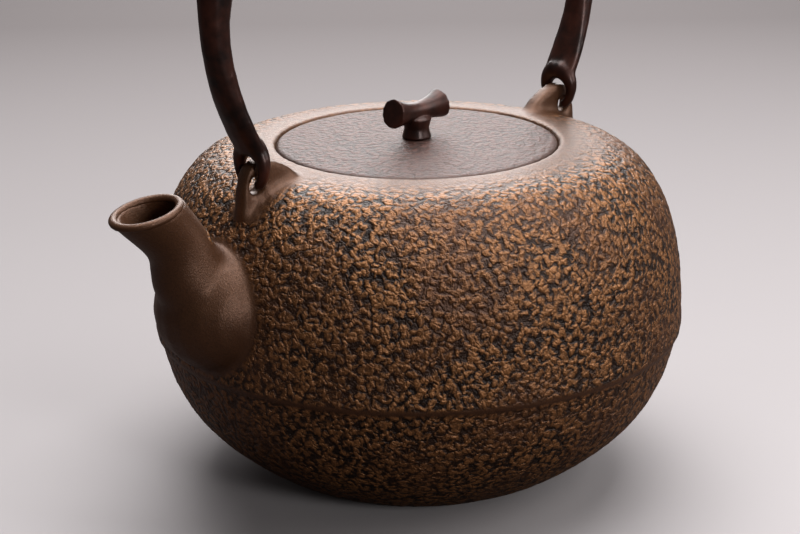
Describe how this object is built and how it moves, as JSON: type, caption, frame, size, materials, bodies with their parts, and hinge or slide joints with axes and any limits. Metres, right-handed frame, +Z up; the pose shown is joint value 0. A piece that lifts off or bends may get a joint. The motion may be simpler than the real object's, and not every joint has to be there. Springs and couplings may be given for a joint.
{
  "type": "tetsubin kettle",
  "caption": "Round cast-iron kettle with a bulbed spout, a flush lid with a waisted bar knob, and a forged arch handle that swings on two lugs.",
  "frame": {"origin": "centre of the flat base, on the bowl's axis", "axes": "+Z up along the bowl's axis; +X in the upright handle's plane, on the side of the spout"},
  "size_m": [0.2029, 0.1724, 0.226],
  "materials": {
    "cast_iron": "sand-cast skin, lacquered brown",
    "lid_iron": "fine sand-cast skin, lacquered brown",
    "lacquered_iron": "smooth, semi-gloss lacquer",
    "plain_iron": "oxidised, matt"
  },
  "bodies": {
    "kettle": {"kettle_body": "cast_iron"},
    "lid": {"lid": "lid_iron", "knob": "lacquered_iron", "knob_washer": "plain_iron", "knob_pin": "plain_iron"},
    "handle": {"handle": "lacquered_iron"}
  },
  "joints": [
    {"name": "handle_swing", "type": "hinge", "parent": "kettle", "child": "handle", "pos_m": [0, 0, 0.1142], "axis": [1, 0, 0], "range_deg": [-80, 80]},
    {"name": "lid_lift", "type": "slide", "parent": "kettle", "child": "lid", "axis": [0, 0, 1], "range_m": [0, 0.05]}
  ]
}
